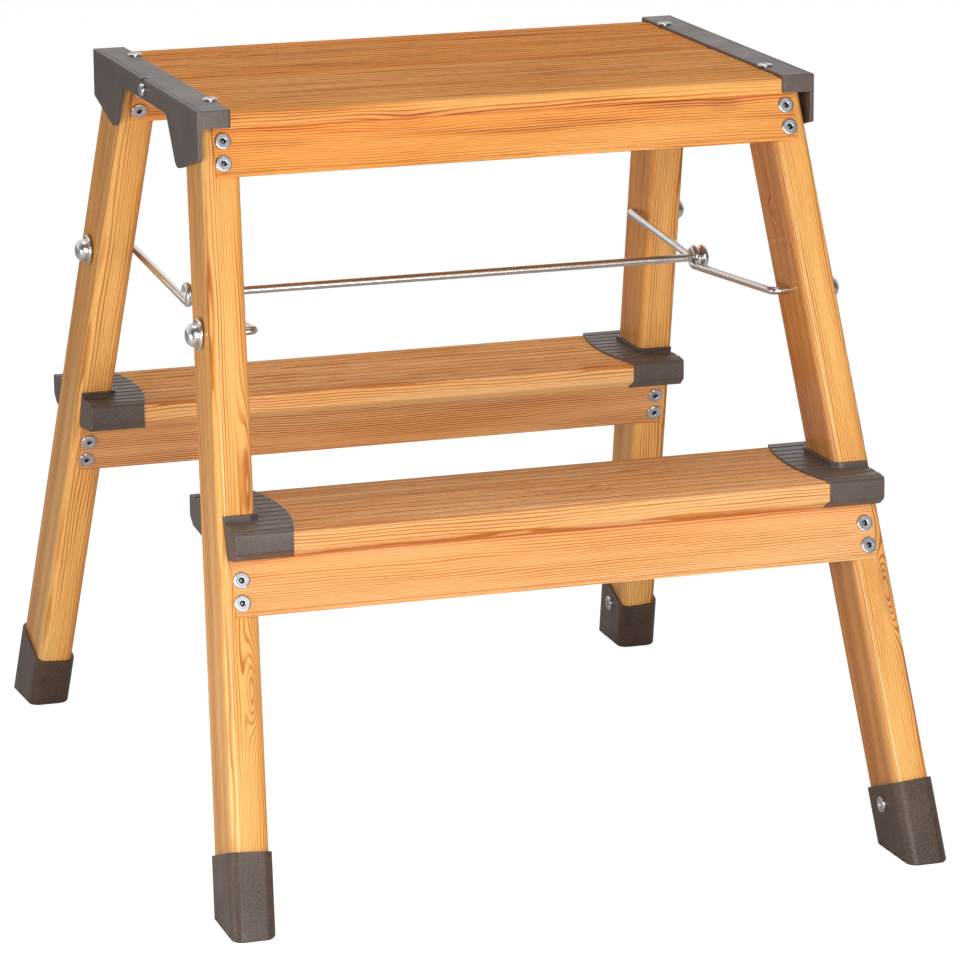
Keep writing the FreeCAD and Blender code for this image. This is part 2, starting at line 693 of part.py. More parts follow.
def pivot_screw():
    """Hinge screw through the lugs, its head outside the cap."""
    inner, outer = cap_sides()
    lugs = CAP_WALL + LUG_SIDE_GAP + INNER_LUG_THICK + 2 * PIVOT_SEAT
    screw = pan_screw(PIVOT_HEAD_RADIUS, PIVOT_HEAD, PIVOT_RADIUS, lugs + NUT_HEIGHT)
    return aimed(screw, spot(outer + PIVOT_SEAT, 0, PIVOT_HEIGHT), Vector(-1, 0, 0))


def pivot_nut():
    """Nut on the hinge screw, inside the inner lug."""
    inner, outer = cap_sides()
    face = outer - CAP_WALL - LUG_SIDE_GAP - INNER_LUG_THICK - PIVOT_SEAT
    corner = NUT_WIDTH / 2 / math.cos(math.pi / 6)
    hexagon = []
    for i in range(6):
        turn = math.pi / 3 * i
        hexagon.append((corner * math.cos(turn), PIVOT_HEIGHT + corner * math.sin(turn), 0))
    nut = sideways_prism(hexagon, face - NUT_HEIGHT, face)
    return nut.cut(cross_bar(PIVOT_RADIUS, (0, ROOM), 0, PIVOT_HEIGHT))


# Pieces that reach from one side to the other

def platform():
    """Half of the platform: ribbed deck, front band and apron, inner lip and leg flange."""
    band = PLATFORM_DECK - PLATFORM_BAND
    nose = platform_nose()
    lip = PIVOT_HEIGHT + LIP_CLEAR
    path = [
        (sheet_out(PLATFORM_BOTTOM, 1), PLATFORM_BOTTOM, 0),
        (sheet_out(band, 1), band, 0),
        (nose, band, 0),
        (nose, PLATFORM_DECK, PLATFORM_ROUND),
        (MATE_GAP / 2, PLATFORM_DECK, 0),
        (MATE_GAP / 2, lip, 0),
    ]
    rib_row = ribs(nose - PLATFORM_FRONT_STRIP, MATE_GAP / 2 + PLATFORM_SEAM_STRIP, PLATFORM_DECK,
                   PLATFORM_RIB_HEIGHT, PLATFORM_RIB_WIDTH, PLATFORM_RIB_PITCH)
    profile = beaded_edge(PLATFORM_BOTTOM, 1) + path[1:4] + rib_row + path[4:]
    deck = sideways_prism(profile + moved_path(path, SHEET)[::-1], -PLATFORM_HALF, PLATFORM_HALF)
    under = PLATFORM_DECK - SHEET / 2
    flange_path = [(sheet_out(under, -1), under, 0), (sheet_out(PLATFORM_BOTTOM, -1), PLATFORM_BOTTOM, 0)]
    flange = sideways_prism(flange_path + moved_path(flange_path, SHEET)[::-1],
                            -PLATFORM_HALF, PLATFORM_HALF)
    holes = rivet_holes(PLATFORM_BOTTOM) + [cap_screw_hole(FIT)]
    return deck.fuse(flange).cut(holes + [mirrored(hole) for hole in holes]).removeSplitter()


def step():
    """Lower step: ribbed tread, noses, apron and inner flange, slotted for the legs."""
    path = step_path()
    outer, inner = path[4], path[5]
    rib_row = ribs(outer[0] - STEP_RIB_MARGIN, inner[0] + STEP_RIB_MARGIN, STEP_DECK,
                   STEP_RIB_HEIGHT, STEP_RIB_WIDTH, STEP_RIB_PITCH)
    profile = beaded_edge(STEP_BOTTOM, 1) + path[1:5] + rib_row + path[5:]
    channel = sideways_prism(profile + moved_path(path, SHEET)[::-1], -step_half(), step_half())
    slot = between(leg_slot(TREAD_LEG_GAP), STEP_DECK - 2 * SHEET, STEP_HEIGHT)
    holes = rivet_holes(STEP_BOTTOM) + [slot]
    return channel.cut(holes + [mirrored(hole) for hole in holes])


def brace_rod():
    """Rod across the stool, held in the front arms' eyes."""
    half = arm_side("front") + WIRE_RADIUS + FIT
    rod = cross_bar(ROD_RADIUS, (-half, half), 0, EYE_HEIGHT)
    return rod.makeChamfer(ROD_CHAMFER, [rod.Edges[0], rod.Edges[2]])


# The whole stool

def mirrored(shape):
    """The same piece on the other side."""
    return shape.mirror(Vector(0, 0, 0), Vector(1, 0, 0))


def half_turned(shape):
    """The same piece on the rear frame."""
    piece = shape.copy()
    piece.rotate(Vector(0, 0, 0), Vector(0, 0, 1), 180)
    return piece


def both_sides(shapes):
    """Group of separate solids with their mirror images."""
    return Part.makeCompound(shapes + [mirrored(shape) for shape in shapes])


def frame_pieces():
    """Pieces of the front frame by name: those of each side, and those that span it."""
    left = {
        "leg": leg(),
        "leg_plug": leg_plug(),
        "foot": foot(),
        "step_cap": step_cap(),
    }
    sided = {}
    for name, shape in left.items():
        sided["left", name] = shape
        sided["right", name] = mirrored(shape)
    sided["left", "hinge_cap"] = hinge_cap(outer_lug=True)
    sided["right", "hinge_cap"] = mirrored(hinge_cap(outer_lug=False))
    spanning = {
        "platform": platform(),
        "step": step(),
        "platform_rivets": both_sides([aimed(rivet(), *place) for place in rivet_places(PLATFORM_BOTTOM)]),
        "step_rivets": both_sides([aimed(rivet(), *place) for place in rivet_places(STEP_BOTTOM)]),
        "cap_screws": both_sides([cap_screw()]),
        "foot_screws": both_sides([foot_screw()]),
    }
    return sided, spanning


def brace_pieces():
    """Pieces of the wire brace by name."""
    pieces = {"brace_rod": brace_rod()}
    for end in ("front", "rear"):
        for piece, shape in (("arm", brace_arm(arm_side(end))), ("dome_cap", dome_cap())):
            left, right = shape, mirrored(shape)
            if end == "rear":
                left, right = half_turned(right), half_turned(left)
            pieces[f"{end}_left_{piece}"] = left
            pieces[f"{end}_right_{piece}"] = right
    return pieces


def all_pieces():
    """Every piece of the stool by its node name."""
    pieces = brace_pieces()
    sided, spanning = frame_pieces()
    other = {"left": "right", "right": "left"}
    for (side, name), shape in sided.items():
        pieces[f"front_{side}_{name}"] = shape
        pieces[f"rear_{other[side]}_{name}"] = half_turned(shape)
    for name, shape in spanning.items():
        pieces[f"front_{name}"] = shape
        pieces[f"rear_{name}"] = half_turned(shape)
    for name, shape in (("pivot_screw", pivot_screw()), ("pivot_nut", pivot_nut())):
        pieces[f"left_{name}"] = shape
        pieces[f"right_{name}"] = mirrored(shape)
    return pieces


os.makedirs("parts", exist_ok=True)
for node, shape in all_pieces().items():
    shape.exportStep(f"parts/{node}.step")
    print(node, len(shape.Solids), shape.isValid(), round(shape.Volume, 1))
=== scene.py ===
"""Looks of a folding step stool: pine film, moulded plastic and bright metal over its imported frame.

Every length is in metres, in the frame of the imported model: +Z up, +X to the right, the front frame
on the -Y side, and the origin on the floor midway between the four feet.
"""

import logging
import math
from dataclasses import dataclass, field
from enum import Enum
from typing import Union

import bmesh
import bpy
from mathutils import Matrix, Vector


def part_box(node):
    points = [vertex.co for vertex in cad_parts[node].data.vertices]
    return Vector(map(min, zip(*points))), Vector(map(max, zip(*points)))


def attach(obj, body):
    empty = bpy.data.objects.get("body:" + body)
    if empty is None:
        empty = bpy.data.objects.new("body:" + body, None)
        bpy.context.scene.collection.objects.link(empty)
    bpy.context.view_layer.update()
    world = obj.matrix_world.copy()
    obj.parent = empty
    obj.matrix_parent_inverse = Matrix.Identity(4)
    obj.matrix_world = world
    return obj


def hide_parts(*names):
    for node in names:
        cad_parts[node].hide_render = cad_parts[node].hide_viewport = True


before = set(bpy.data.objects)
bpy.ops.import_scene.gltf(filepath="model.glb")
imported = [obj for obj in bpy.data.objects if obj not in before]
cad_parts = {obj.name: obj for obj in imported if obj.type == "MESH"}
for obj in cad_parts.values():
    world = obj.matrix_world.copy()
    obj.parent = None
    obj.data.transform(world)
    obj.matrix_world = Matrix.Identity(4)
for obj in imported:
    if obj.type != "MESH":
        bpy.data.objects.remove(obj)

LOG = logging.getLogger("step_stool")
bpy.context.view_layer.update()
MM = 0.001
HARD_EDGE = math.radians(32)
FLAT_EDGE = math.radians(0.4)
SAME_POINT = 0.002 * MM
WHITE = (1.0, 1.0, 1.0, 1.0)

Plug = Union[bpy.types.NodeSocket, float, tuple]
Colour = tuple[float, float, float]


def srgb(red: int, green: int, blue: int) -> Colour:
    """Turn a display colour into a linear one.

    Args:
        red, green, blue: Levels from 0 to 255.

    Returns:
        The linear colour that renders as that display colour under plain light.
    """
    levels = (red / 255, green / 255, blue / 255)
    return tuple(c / 12.92 if c <= 0.04045 else ((c + 0.055) / 1.055) ** 2.4 for c in levels)


class End(Enum):
    """The two A-frame halves; the value is the sign of Y."""

    FRONT = -1
    REAR = 1

    @property
    def word(self) -> str:
        """Word that starts the names of this half's pieces."""
        return self.name.lower()

    @property
    def body(self) -> str:
        """Body that this half's rigid pieces ride on."""
        return f"{self.word}_frame"


class Side(Enum):
    """The two sides of the stool; the value is the sign of X."""

    LEFT = -1
    RIGHT = 1

    @property
    def word(self) -> str:
        """Word in the names of this side's pieces."""
        return self.name.lower()


class SocketKind(Enum):
    """Kinds of socket on an effect's node group."""

    VALUE = "NodeSocketFloat"
    VECTOR = "NodeSocketVector"


class Slot(Enum):
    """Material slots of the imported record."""

    PLASTIC = "brown_plastic"
    ZINC = "zinc"


class Canvas:
    """Adds nodes to one shader tree and links them in plain steps."""

    def __init__(self, tree: bpy.types.NodeTree) -> None:
        """Start on a tree."""
        self.tree = tree

    def plug(self, socket: bpy.types.NodeSocket, value: Plug) -> None:
        """Link another node's output to a socket, or set the socket's own value."""
        if isinstance(value, bpy.types.NodeSocket):
            self.tree.links.new(value, socket)
        else:
            socket.default_value = value

    def node(self, kind: str, plugs: dict | None = None, **settings: object) -> bpy.types.Node:
        """Add a node.

        Args:
            kind: The node's type.
            plugs: What goes into its inputs, by name or number.
            **settings: The node's own properties.

        Returns:
            The new node.
        """
        node = self.tree.nodes.new(kind)
        for name, value in settings.items():
            setattr(node, name, value)
        for key, value in (plugs or {}).items():
            self.plug(node.inputs[key], value)
        return node

    def math(self, operation: str, *values: Plug) -> bpy.types.NodeSocket:
        """Result of one scalar operation."""
        return self.node("ShaderNodeMath", dict(enumerate(values)), operation=operation).outputs[0]

    def vector(self, operation: str, *values: Plug) -> bpy.types.NodeSocket:
        """Result of one vector operation; lengths and dot products come out as values."""
        node = self.node("ShaderNodeVectorMath", dict(enumerate(values)), operation=operation)
        scalar = operation in ("LENGTH", "DOT_PRODUCT")
        return node.outputs["Value" if scalar else "Vector"]

    def stretch(self, vector: Plug, factors: tuple) -> bpy.types.NodeSocket:
        """Vector scaled differently along each axis."""
        return self.vector("MULTIPLY", vector, factors)

    def noise(
        self, vector: Plug, scale: float = 1.0, detail: float = 2.0, rough: float = 0.5,
    ) -> bpy.types.NodeSocket:
        """Soft noise from 0 to 1."""
        plugs = {"Vector": vector, "Scale": scale, "Detail": detail, "Roughness": rough}
        return self.node("ShaderNodeTexNoise", plugs).outputs[0]

    def spread(
        self, value: Plug, low: Plug, high: Plug, start: Plug = 0.0, stop: Plug = 1.0,
    ) -> bpy.types.NodeSocket:
        """Value eased from a range to another, and held at its ends."""
        plugs = {"Value": value, "From Min": low, "From Max": high, "To Min": start, "To Max": stop}
        return self.node("ShaderNodeMapRange", plugs, interpolation_type="SMOOTHSTEP").outputs[0]

    def mix(self, factor: Plug, first: Plug, second: Plug, blend: str = "MIX") -> bpy.types.NodeSocket:
        """Colour between two colours; plain colours may have three numbers."""
        node = self.node("ShaderNodeMix", data_type="RGBA", blend_type=blend)
        self.plug(node.inputs[0], factor)
        for socket, colour in ((node.inputs[6], first), (node.inputs[7], second)):
            self.plug(socket, (*colour, 1.0) if isinstance(colour, tuple) else colour)
        return node.outputs[2]

    def curve(self, value: Plug, stops: list[tuple[float, float]]) -> bpy.types.NodeSocket:
        """Grey level read from a ramp of (place, level) stops."""
        ramp = self.node("ShaderNodeValToRGB", {0: value})
        elements = ramp.color_ramp.elements
        for i, (place, level) in enumerate(stops):
            element = elements[i] if i < 2 else elements.new(place)
            element.position = place
            element.color = (level, level, level, 1.0)
        return ramp.outputs[0]


class Effect:
    """A surface effect kept as one shader node group, built once and placed in many materials."""

    name = "effect"
    inputs: tuple = ()
    outputs: tuple = ()

    def draw(self, canvas: Canvas, entry: dict) -> dict:
        """Draw the effect's nodes.

        Args:
            canvas: The group's own tree.
            entry: The group's inputs by name.

        Returns:
            What goes to the group's outputs, by name.
        """
        raise NotImplementedError

    def group(self) -> bpy.types.NodeTree:
        """The effect's node group, built on first use."""
        tree = bpy.data.node_groups.get(self.name)
        if tree:
            return tree
        tree = bpy.data.node_groups.new(self.name, "ShaderNodeTree")
        for name, kind, default in self.inputs:
            socket = tree.interface.new_socket(name, in_out="INPUT", socket_type=kind.value)
            socket.default_value = default
        for name, kind in self.outputs:
            tree.interface.new_socket(name, in_out="OUTPUT", socket_type=kind.value)
        canvas = Canvas(tree)
        entry = {socket.name: socket for socket in canvas.node("NodeGroupInput").outputs if socket.name}
        drawn = self.draw(canvas, entry)
        canvas.node("NodeGroupOutput", drawn)
        return tree

    def place(self, canvas: Canvas, **plugs: Plug) -> dict:
        """Put the effect in a material.

        Args:
            canvas: The material's tree.
            **plugs: What goes into the group's inputs; an underscore stands for a space.

        Returns:
            The group's outputs by name.
        """
        named = {key.replace("_", " "): value for key, value in plugs.items()}
        node = canvas.node("ShaderNodeGroup", node_tree=self.group())
        for key, value in named.items():
            canvas.plug(node.inputs[key], value)
        return {socket.name: socket for socket in node.outputs}


class GrainRings(Effect):
    """Growth rings, fibres and streaks of sawn pine; X of the vector runs along the grain."""

    name = "grain_rings"
    inputs = (
        ("Vector", SocketKind.VECTOR, (0, 0, 0)),
        ("Heart", SocketKind.VECTOR, (0, 0, 0)),
        ("Ring Width", SocketKind.VALUE, 2.1),
        ("Wave", SocketKind.VALUE, 5.0),
        ("Push", SocketKind.VALUE, 0.0),
    )
    outputs = (
        ("Ring", SocketKind.VALUE),
        ("Fibre", SocketKind.VALUE),
        ("Streak", SocketKind.VALUE),
        ("Warmth", SocketKind.VALUE),
    )

    slow_waves = (0.0045, 0.022, 0.022)
    quick_waves = (0.018, 0.09, 0.09)
    ripple_height = 1.6
    age_scale = 0.21
    age_shift = 1.2
    season_stops = [(0.0, 0.1), (1.0, 0.1), (0.08, 0.0), (0.5, 0.04), (0.72, 0.9), (0.92, 1.0)]
    faded_marks = (0.006, 0.12, 0.12)
    fibres = (0.09, 2.1, 2.1)
    long_marks = (0.006, 0.11, 0.11)
    warm_patches = (0.004, 0.03, 0.03)

    def draw(self, canvas: Canvas, entry: dict) -> dict:
        """Draw the rings about the heart, in millimetres, bent by slow waves and pushed by figures."""
        place = canvas.vector("SCALE", entry["Vector"])
        place.node.inputs["Scale"].default_value = 1 / MM
        slow = canvas.noise(canvas.stretch(place, self.slow_waves))
        quick = canvas.noise(canvas.stretch(place, self.quick_waves))
        wave = canvas.math("MULTIPLY", canvas.math("SUBTRACT", slow, 0.5), entry["Wave"])
        ripple = canvas.math("MULTIPLY", canvas.math("SUBTRACT", quick, 0.5), self.ripple_height)
        across = canvas.stretch(canvas.vector("SUBTRACT", place, entry["Heart"]), (0, 1, 1))
        radius = canvas.vector("LENGTH", across)
        for shift in (wave, ripple, entry["Push"]):
            radius = canvas.math("ADD", radius, shift)
        turns = canvas.math("DIVIDE", radius, entry["Ring Width"])
        age = canvas.noise(canvas.node("ShaderNodeCombineXYZ", {0: turns}).outputs[0], self.age_scale)
        turns = canvas.math("ADD", turns, canvas.math("MULTIPLY", age, self.age_shift))
        season = canvas.math("FRACT", turns)
        late = canvas.curve(season, self.season_stops)
        depth = canvas.noise(canvas.stretch(place, self.faded_marks))
        ring = canvas.math("MULTIPLY", late, canvas.spread(depth, 0.32, 0.62, 0.25, 1.0))
        fibre = canvas.noise(canvas.stretch(place, self.fibres), detail=3.0, rough=0.6)
        marks = canvas.noise(canvas.stretch(place, self.long_marks), rough=0.55)
        streak = canvas.spread(marks, 0.5, 0.68)
        warmth = canvas.noise(canvas.stretch(place, self.warm_patches), detail=1.0)
        return {"Ring": ring, "Fibre": fibre, "Streak": streak, "Warmth": warmth}


class GrainFigure(Effect):
    """One knot or flame in the grain: a smooth push that closes the rings round a centre; with no push and a
    long reach it only darkens a band, used as painted shade.
    """

    name = "grain_figure"
    inputs = (
        ("Vector", SocketKind.VECTOR, (0, 0, 0)),
        ("Centre", SocketKind.VECTOR, (0, 0, 0)),
        ("Half Size", SocketKind.VECTOR, (0.03, 0.006, 0.006)),
        ("Height", SocketKind.VALUE, 10.0),
    )
    outputs = (("Push", SocketKind.VALUE), ("Core", SocketKind.VALUE))

    def draw(self, canvas: Canvas, entry: dict) -> dict:
        """Draw a rounded hump over the figure's size, and its core."""
        offset = canvas.vector("SUBTRACT", entry["Vector"], entry["Centre"])
        reach = canvas.vector("LENGTH", canvas.vector("DIVIDE", offset, entry["Half Size"]))
        square = canvas.math("MULTIPLY", reach, reach)
        hump = canvas.math("EXPONENT", canvas.math("MULTIPLY", square, -1.0))
        push = canvas.math("MULTIPLY", hump, entry["Height"])
        return {"Push": push, "Core": canvas.spread(hump, 0.25, 0.95)}


class Pebble(Effect):
    """Fine pebbled skin of moulded plastic."""

    name = "pebble"
    inputs = (("Vector", SocketKind.VECTOR, (0, 0, 0)), ("Size", SocketKind.VALUE, 1.0))
    outputs = (("Height", SocketKind.VALUE), ("Speckle", SocketKind.VALUE), ("Cloud", SocketKind.VALUE))

    grit_share = 1.7
    cell_depth = 0.6
    cloud_scale = 38.0

    def draw(self, canvas: Canvas, entry: dict) -> dict:
        """Draw rounded cells of the given size in millimetres, their paler crowns and slow clouds."""
        place = entry["Vector"]
        scale = canvas.math("DIVIDE", 1 / MM, entry["Size"])
        cells = canvas.node("ShaderNodeTexVoronoi", {"Vector": place, "Scale": scale}, feature="SMOOTH_F1")
        grit = canvas.noise(place)
        canvas.plug(grit.node.inputs["Scale"], canvas.math("MULTIPLY", scale, self.grit_share))
        hollow = canvas.math("MULTIPLY", cells.outputs["Distance"], self.cell_depth)
        height = canvas.math("SUBTRACT", grit, hollow)
        cloud = canvas.noise(place, self.cloud_scale, 3.0)
        return {"Height": height, "Speckle": canvas.spread(height, 0.12, 0.5), "Cloud": cloud}


class Smudges(Effect):
    """Uneven sheen from hands and cloths."""

    name = "smudges"
    inputs = (
        ("Vector", SocketKind.VECTOR, (0, 0, 0)),
        ("Low", SocketKind.VALUE, 0.3),
        ("High", SocketKind.VALUE, 0.4),
    )
    outputs = (("Roughness", SocketKind.VALUE),)

    patch_scale = 26.0

    def draw(self, canvas: Canvas, entry: dict) -> dict:
        """Draw slow patches between a low and a high roughness."""
        patches = canvas.noise(entry["Vector"], self.patch_scale, 4.0, 0.6)
        return {"Roughness": canvas.spread(patches, 0.32, 0.7, entry["Low"], entry["High"])}


class EdgeWearAndHighlight(Effect):
    """Corners a little paler, partly from scuffing and partly as a painted edge highlight, and a normal that
    rounds hard edges off.
    """

    name = "edge_wear"
    inputs = (("Vector", SocketKind.VECTOR, (0, 0, 0)), ("Width", SocketKind.VALUE, 0.0006))
    outputs = (("Wear", SocketKind.VALUE), ("Rounded", SocketKind.VECTOR))

    patch_scale = 160.0

    def draw(self, canvas: Canvas, entry: dict) -> dict:
        """Compare the surface's normal with one rounded over the width, broken up by noise."""
        rounded = canvas.node("ShaderNodeBevel", {"Radius": entry["Width"]}, samples=6).outputs[0]
        straight = canvas.node("ShaderNodeNewGeometry").outputs["Normal"]
        bend = canvas.math("SUBTRACT", 1.0, canvas.vector("DOT_PRODUCT", rounded, straight))
        patches = canvas.noise(entry["Vector"], self.patch_scale, 3.0)
        patchy = canvas.spread(patches, 0.35, 0.65, 0.35, 1.0)
        return {"Wear": canvas.math("MULTIPLY", canvas.spread(bend, 0.02, 0.25), patchy), "Rounded": rounded}


class GrooveShade(Effect):
    """Painted shade: a darker colour in the bottoms of a surface's own grooves."""

    name = "groove_shade"
    inputs = (("Reach", SocketKind.VALUE, 0.002),)
    outputs = (("Shade", SocketKind.VALUE),)

    def draw(self, canvas: Canvas, entry: dict) -> dict:
        """Measure how far the piece closes round each point within the reach."""
        around = canvas.node(
            "ShaderNodeAmbientOcclusion", {"Distance": entry["Reach"]}, samples=8, only_local=True)
        return {"Shade": canvas.spread(around.outputs["AO"], 0.5, 0.9, 1.0, 0.0)}


class DrawnLines(Effect):
    """Fine lines that drawing or pressing leaves on bright metal."""

    name = "drawn_lines"
    inputs = (("Vector", SocketKind.VECTOR, (0, 0, 0)), ("Along", SocketKind.VECTOR, (40, 2600, 2600)))
    outputs = (("Height", SocketKind.VALUE), ("Stain", SocketKind.VALUE))

    stain_scale = 140.0

    def draw(self, canvas: Canvas, entry: dict) -> dict:
        """Draw stretched scratches and a slow stain."""
        stretched = canvas.vector("MULTIPLY", entry["Vector"], entry["Along"])
        lines = canvas.noise(stretched, detail=3.0, rough=0.6)
        return {"Height": lines, "Stain": canvas.noise(entry["Vector"], self.stain_scale, 3.0)}


GRAIN_RINGS = GrainRings()
GRAIN_FIGURE = GrainFigure()
PEBBLE = Pebble()
SMUDGES = Smudges()
EDGE_WEAR_AND_HIGHLIGHT = EdgeWearAndHighlight()
GROOVE_SHADE = GrooveShade()
DRAWN_LINES = DrawnLines()


def new_material(name: str) -> tuple[bpy.types.Material, Canvas, bpy.types.Node, bpy.types.NodeSocket]:
    """Start a material.

    Args:
        name: The material's name.

    Returns:
        The material, its canvas, its shader and the surface's place in the model's frame.
    """
    material = bpy.data.materials.new(name)
    material.use_nodes = True
    material.node_tree.nodes.clear()
    canvas = Canvas(material.node_tree)
    shader = canvas.node("ShaderNodeBsdfPrincipled")
    canvas.node("ShaderNodeOutputMaterial", {"Surface": shader.outputs[0]})
    place = canvas.node("ShaderNodeTexCoord").outputs["Object"]
    return material, canvas, shader, place


@dataclass(frozen=True)
class Figure:
    """A knot or flame printed in the film, placed along and across its piece in millimetres; a long one with
    no push is a band of painted shade.
    """

    centre: tuple[float, float, float]
    half_size: tuple[float, float, float]
    height: float
    # How strongly it stains the film; on the long bands this darkening is painted shade.
    stain: float


@dataclass(frozen=True)
class FilmTint:
    """Colours and coat of one print of the film."""

    pale: Colour
    honey: Colour
    gold_line: Colour = srgb(208, 124, 46)
    redness: float = 0.5
    gloss: float = 0.06


@dataclass(frozen=True)
class PineFilm:
    """Printed pine film of one extrusion, its grain running along that extrusion."""

    name: str
    grain: Matrix
    heart: tuple[float, float, float]
    tint: FilmTint
    figures: tuple[Figure, ...]
    wave: float
    ring_width: float
    red_line: Colour = srgb(150, 74, 38)
    # Colour of knot stains, also carrying the painted shade of the long bands.
    knot: Colour = srgb(186, 104, 66)
    # Colour of the painted shade in the rib grooves.
    groove: Colour = srgb(166, 82, 46)
    fibre_dark: float = 0.88
    fibre_light: float = 1.06
    knot_share: float = 0.35
    rub_share: float = 0.3
    groove_share: float = 0.72
    groove_reach: float = 2.5 * MM
    edge_width: float = 0.5 * MM
    low: float = 0.33
    high: float = 0.42
    fibre_emboss: float = 0.6
    emboss: float = 0.25
    emboss_depth: float = 0.05 * MM
    coat_roughness: float = 0.12

    def material(self) -> bpy.types.Material:
        """Build the film's material.

        Returns:
            Colour, sheen and a faint emboss that follow the printed grain.
        """
        material, canvas, shader, place = new_material(self.name)
        mapping = canvas.node("ShaderNodeMapping", {"Vector": place}, vector_type="TEXTURE")
        mapping.inputs["Location"].default_value = self.grain.to_translation()
        mapping.inputs["Rotation"].default_value = self.grain.to_euler()
        grain = mapping.outputs[0]
        push, core = self._figures(canvas, grain)
        rings = GRAIN_RINGS.place(
            canvas, Vector=grain, Heart=self.heart, Ring_Width=self.ring_width, Wave=self.wave, Push=push)
        wear_and_highlight = EDGE_WEAR_AND_HIGHLIGHT.place(canvas, Vector=place, Width=self.edge_width)
        sheen = SMUDGES.place(canvas, Vector=place, Low=self.low, High=self.high)
        ground = canvas.mix(canvas.spread(rings["Warmth"], 0.3, 0.7), self.tint.pale, self.tint.honey)
        reddened = canvas.math("MULTIPLY_ADD", rings["Streak"], self.tint.redness, core)
        tinted = canvas.mix(canvas.math("MULTIPLY", reddened, self.knot_share), ground, self.knot)
        line = canvas.mix(reddened, self.tint.gold_line, self.red_line)
        lined = canvas.mix(rings["Ring"], tinted, line)
        tone = canvas.spread(rings["Fibre"], 0.3, 0.7, self.fibre_dark, self.fibre_light)
        grey = canvas.node("ShaderNodeCombineColor", {0: tone, 1: tone, 2: tone}).outputs[0]
        fibred = canvas.mix(1.0, lined, grey, "MULTIPLY")
        # Paler edges: partly scuffing, partly a painted highlight along the corners.
        rubbed = canvas.mix(canvas.math("MULTIPLY", wear_and_highlight["Wear"], self.rub_share), fibred, self.tint.pale)
        # Painted shade: the rib grooves are darkened where the piece closes round them.
        grooves = GROOVE_SHADE.place(canvas, Reach=self.groove_reach)
        shaded = canvas.mix(canvas.math("MULTIPLY", grooves["Shade"], self.groove_share), rubbed, self.groove)
        height = canvas.math("ADD", canvas.math("MULTIPLY", rings["Fibre"], self.fibre_emboss), rings["Ring"])
        bump = canvas.node("ShaderNodeBump", {
            "Height": height, "Normal": wear_and_highlight["Rounded"], "Strength": self.emboss,
            "Distance": self.emboss_depth})
        canvas.plug(shader.inputs["Base Color"], shaded)
        canvas.plug(shader.inputs["Roughness"], sheen["Roughness"])
        canvas.plug(shader.inputs["Normal"], bump.outputs[0])
        shader.inputs["Specular IOR Level"].default_value = 0.0
        shader.inputs["Coat Weight"].default_value = self.tint.gloss
        shader.inputs["Coat Roughness"].default_value = self.coat_roughness
        return material

    def _figures(self, canvas: Canvas, grain: bpy.types.NodeSocket) -> tuple[Plug, Plug]:
        """Add up the pushes and the stained cores of the film's figures, the painted shade of the long bands
        among them.

        Args:
            canvas: The material's tree.
            grain: The place along and across the grain.

        Returns:
            The whole push and the whole stain.
        """
        push, core = 0.0, 0.0
        for figure in self.figures:
            centre = tuple(c * MM for c in figure.centre)
            half_size = tuple(c * MM for c in figure.half_size)
            drawn = GRAIN_FIGURE.place(
                canvas, Vector=grain, Centre=centre, Half_Size=half_size, Height=figure.height)
            push = canvas.math("ADD", drawn["Push"], push)
            core = canvas.math("ADD", canvas.math("MULTIPLY", drawn["Core"], figure.stain), core)
        return push, core


@dataclass(frozen=True)
class MouldedPlastic:
    """Warm grey-brown plastic with a pebbled skin and paler edges, partly scuffed and partly a painted
    highlight.
    """

    name: str
    dark: Colour
    light: Colour
    # Pale colour of the specks and of the edges, where the paling is partly a painted highlight.
    rubbed: Colour
    pebble_size: float
    pebble_depth: float
    low: float = 0.44
    high: float = 0.56
    edge_width: float = 0.7 * MM
    speckle_share: float = 0.14
    rub_share: float = 0.55
    emboss: float = 0.8

    def material(self) -> bpy.types.Material:
        """Build the plastic's material."""
        material, canvas, shader, place = new_material(self.name)
        skin = PEBBLE.place(canvas, Vector=place, Size=self.pebble_size)
        wear_and_highlight = EDGE_WEAR_AND_HIGHLIGHT.place(canvas, Vector=place, Width=self.edge_width)
        sheen = SMUDGES.place(canvas, Vector=place, Low=self.low, High=self.high)
        clouded = canvas.mix(canvas.spread(skin["Cloud"], 0.35, 0.65), self.dark, self.light)
        specks = canvas.math("MULTIPLY", skin["Speckle"], self.speckle_share)
        specked = canvas.mix(specks, clouded, self.rubbed)
        # Paler edges: partly scuffing, partly a painted highlight along the corners.
        worn_and_highlit = canvas.mix(canvas.math("MULTIPLY", wear_and_highlight["Wear"], self.rub_share), specked, self.rubbed)
        bump = canvas.node("ShaderNodeBump", {
            "Height": skin["Height"], "Strength": self.emboss, "Distance": self.pebble_depth})
        canvas.plug(shader.inputs["Base Color"], worn_and_highlit)
        canvas.plug(shader.inputs["Roughness"], sheen["Roughness"])
        canvas.plug(shader.inputs["Normal"], bump.outputs[0])
        return material


